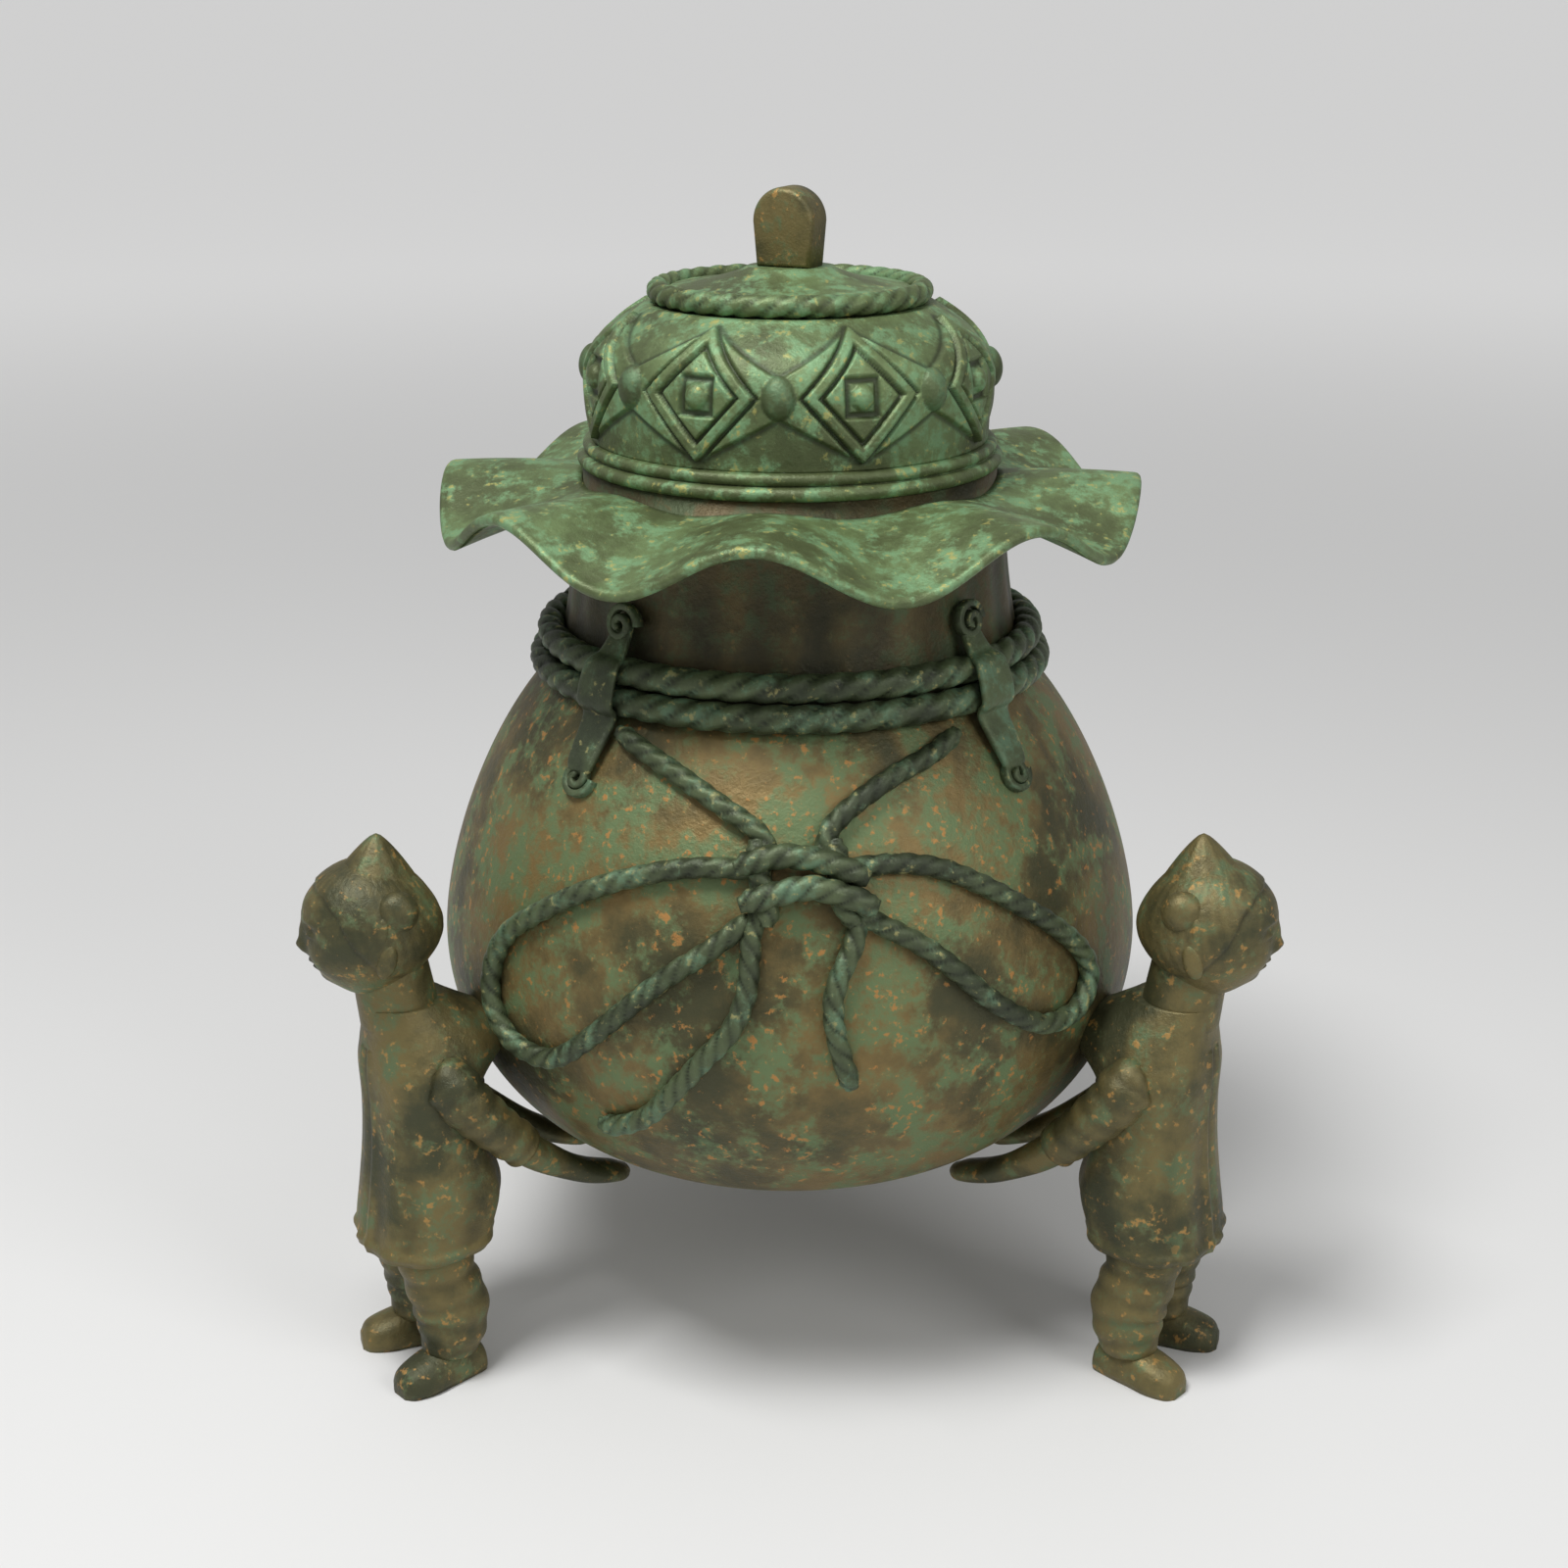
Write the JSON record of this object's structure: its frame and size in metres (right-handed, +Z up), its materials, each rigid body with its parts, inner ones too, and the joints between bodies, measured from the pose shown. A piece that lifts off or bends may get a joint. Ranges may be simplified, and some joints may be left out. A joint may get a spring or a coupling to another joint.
{
  "type": "incense burner",
  "caption": "Lidded bronze incense burner shaped as a tied sack with a ruffled mouth, carried by standing boys; the domed lid lifts off.",
  "frame": {"origin": "centre of the footprint on the ground, under the middle of the bounding box", "axes": "+Z up; the tied bow faces -Y; the sack's own axis is at x = 0, y = -24 mm"},
  "size_m": [0.297, 0.2847, 0.3595],
  "materials": {
    "bronze_sack": "patinated cast bronze, mottled brown and olive",
    "bronze_green": "patinated cast bronze, verdigris green with brown wear",
    "bronze_rope": "patinated cast bronze, grey-green, darker in the grooves",
    "bronze_figure": "patinated cast bronze, dark olive-brown, rubbed on high places"
  },
  "bodies": {
    "vessel": {"sack_body": "bronze_sack", "neck_collar": "bronze_sack", "mouth_ruffle": "bronze_green", "neck_rope_lower": "bronze_rope", "neck_rope_upper": "bronze_rope", "rope_clasp_front_right": "bronze_rope", "rope_clasp_back_right": "bronze_rope", "rope_clasp_back_left": "bronze_rope", "rope_clasp_front_left": "bronze_rope", "bow_knot": "bronze_rope", "bow_lead_left": "bronze_rope", "bow_lead_right": "bronze_rope", "bow_loop_left": "bronze_rope", "bow_loop_right": "bronze_rope", "bow_end_left": "bronze_rope", "bow_end_right": "bronze_rope", "boy_right_head": "bronze_figure", "boy_right_coat": "bronze_figure", "boy_right_trousers": "bronze_figure", "boy_right_arm_left": "bronze_figure", "boy_right_arm_right": "bronze_figure", "boy_right_shoe_left": "bronze_figure", "boy_right_shoe_right": "bronze_figure", "boy_back_head": "bronze_figure", "boy_back_coat": "bronze_figure", "boy_back_trousers": "bronze_figure", "boy_back_arm_left": "bronze_figure", "boy_back_arm_right": "bronze_figure", "boy_back_shoe_left": "bronze_figure", "boy_back_shoe_right": "bronze_figure", "boy_left_head": "bronze_figure", "boy_left_coat": "bronze_figure", "boy_left_trousers": "bronze_figure", "boy_left_arm_left": "bronze_figure", "boy_left_arm_right": "bronze_figure", "boy_left_shoe_left": "bronze_figure", "boy_left_shoe_right": "bronze_figure"},
    "lid": {"lid_rim": "bronze_green", "lid_dome": "bronze_green", "lid_cap_plate": "bronze_green", "lid_cap_rope": "bronze_rope", "lid_knob": "bronze_figure"}
  },
  "joints": [
    {"name": "lid_lift", "type": "slide", "parent": "vessel", "child": "lid", "axis": [0, 0, 1], "range_m": [0, 0.12]}
  ]
}
